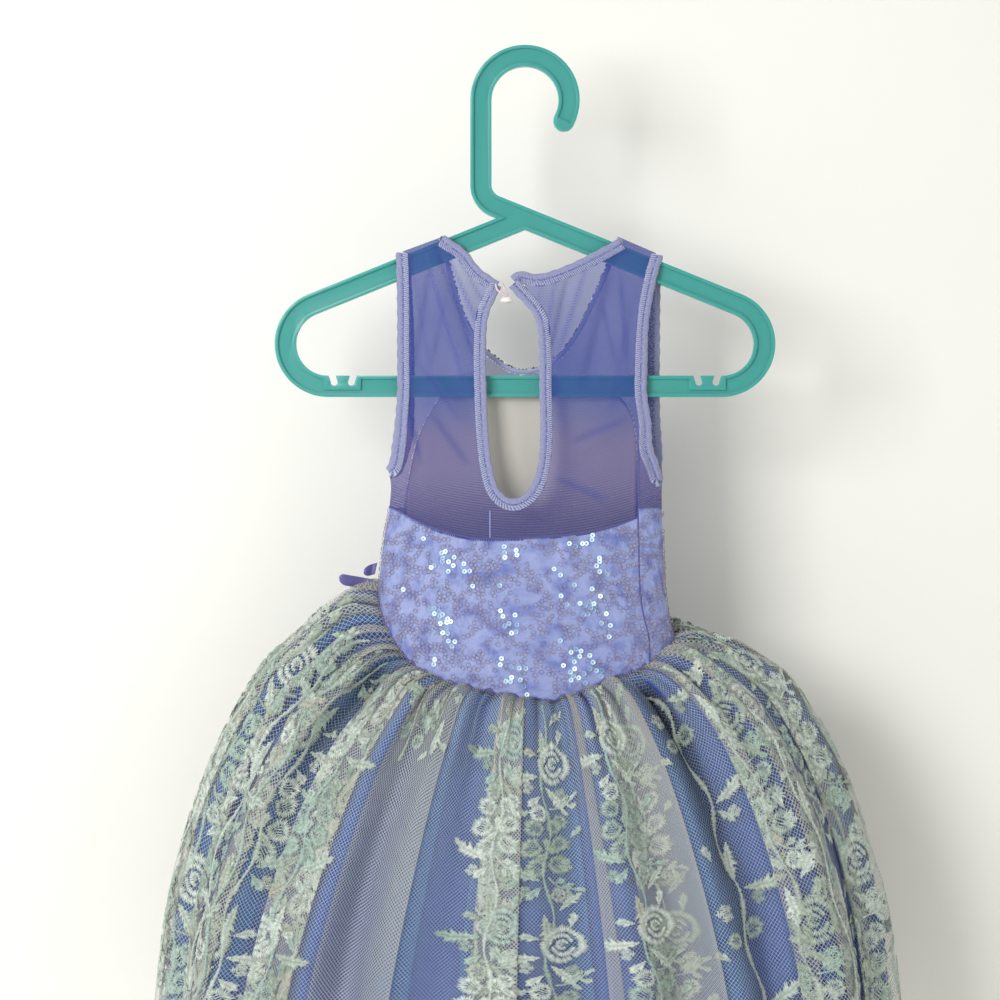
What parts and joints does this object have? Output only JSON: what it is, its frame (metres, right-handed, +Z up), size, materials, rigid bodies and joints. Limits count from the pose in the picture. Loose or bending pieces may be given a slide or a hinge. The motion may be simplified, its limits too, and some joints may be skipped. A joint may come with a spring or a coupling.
{
  "type": "dance costume on a hanger",
  "caption": "Child's sleeveless dance costume with a sheer keyhole back, sequin bodice and full lace skirt over tulle, hanging flat on a moulded hanger.",
  "frame": {"origin": "inside top of the hanger's hook, where a rail or peg bears", "axes": "+Z up, -Y towards the viewer of the costume's back with its keyhole, +X to that viewer's right"},
  "size_m": [0.4916, 0.2039, 0.6543],
  "materials": {
    "hanger_plastic": "smooth moulded polypropylene, slightly translucent",
    "power_mesh": "sheer knitted power mesh",
    "knit_binding": "knit elastic binding with cover stitching",
    "glitter_trim": "narrow braid with silver and black glitter beads",
    "sequin_satin": "stretch satin with small clear iridescent sequins",
    "lining": "pale matt lining knit",
    "embroidered_lace": "embroidered flowers and leaves on a soft net",
    "blue_tulle": "soft diamond net",
    "violet_tulle": "soft diamond net",
    "pearl": "pearl lacquer",
    "clear_elastic": "clear soft elastic",
    "ribbon": "sheer violet ribbon"
  },
  "bodies": {
    "root": {"hanger": "hanger_plastic", "back_yoke_left": "power_mesh", "back_yoke_right": "power_mesh", "front_yoke": "power_mesh", "back_neck_binding_left": "knit_binding", "back_neck_binding_right": "knit_binding", "keyhole_binding": "knit_binding", "armhole_binding_left": "knit_binding", "armhole_binding_right": "knit_binding", "front_neck_binding": "knit_binding", "front_neck_trim": "glitter_trim", "back_band": "sequin_satin", "front_bodice": "sequin_satin", "front_lining": "lining", "skirt_lace_back": "embroidered_lace", "skirt_lace_front": "embroidered_lace", "skirt_tulle_blue": "blue_tulle", "skirt_tulle_violet": "violet_tulle", "pearl_button": "pearl", "button_loop": "clear_elastic", "waist_ribbon_upper": "ribbon", "waist_ribbon_lower": "ribbon"}
  },
  "joints": []
}
